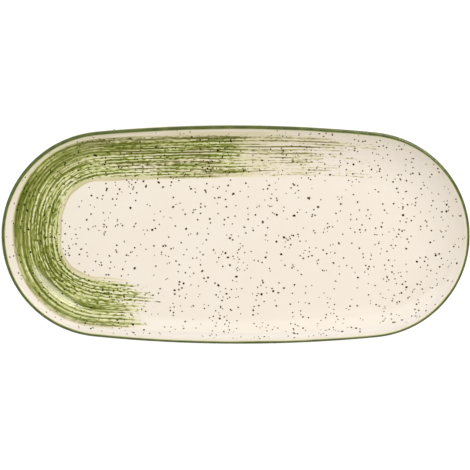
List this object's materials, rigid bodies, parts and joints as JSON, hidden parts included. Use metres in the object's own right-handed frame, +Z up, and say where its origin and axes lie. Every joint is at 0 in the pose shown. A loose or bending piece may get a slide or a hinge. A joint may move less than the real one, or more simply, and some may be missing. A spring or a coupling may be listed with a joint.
{
  "type": "serving plate",
  "caption": "Long oval stoneware serving plate with a hollow curved wall, round lip and foot ring, cream speckled glaze, green rim line and a green brushed sweep round one end.",
  "frame": {"origin": "on the table under the middle of the plate, in the plane of the foot ring's sole", "axes": "+X along the plate's length, away from the brushed end; +Y across it, towards the side with the longer brushed run; +Z up"},
  "size_m": [0.33, 0.155, 0.025],
  "materials": {
    "stoneware_clay": "fired and unglazed, matte, slightly gritty",
    "cream_glaze": "glossy cream glaze with dark iron specks",
    "green_rim_glaze": "glossy olive green glaze brushed over the lip",
    "green_brush_glaze": "glossy green glaze brushed in bristle streaks, running dry at both ends"
  },
  "bodies": {
    "root": {"stoneware_body": "stoneware_clay", "face_glaze": "cream_glaze", "wall_glaze": "cream_glaze", "base_glaze": "cream_glaze", "rim_band": "green_rim_glaze", "brush_stroke": "green_brush_glaze"}
  },
  "joints": []
}
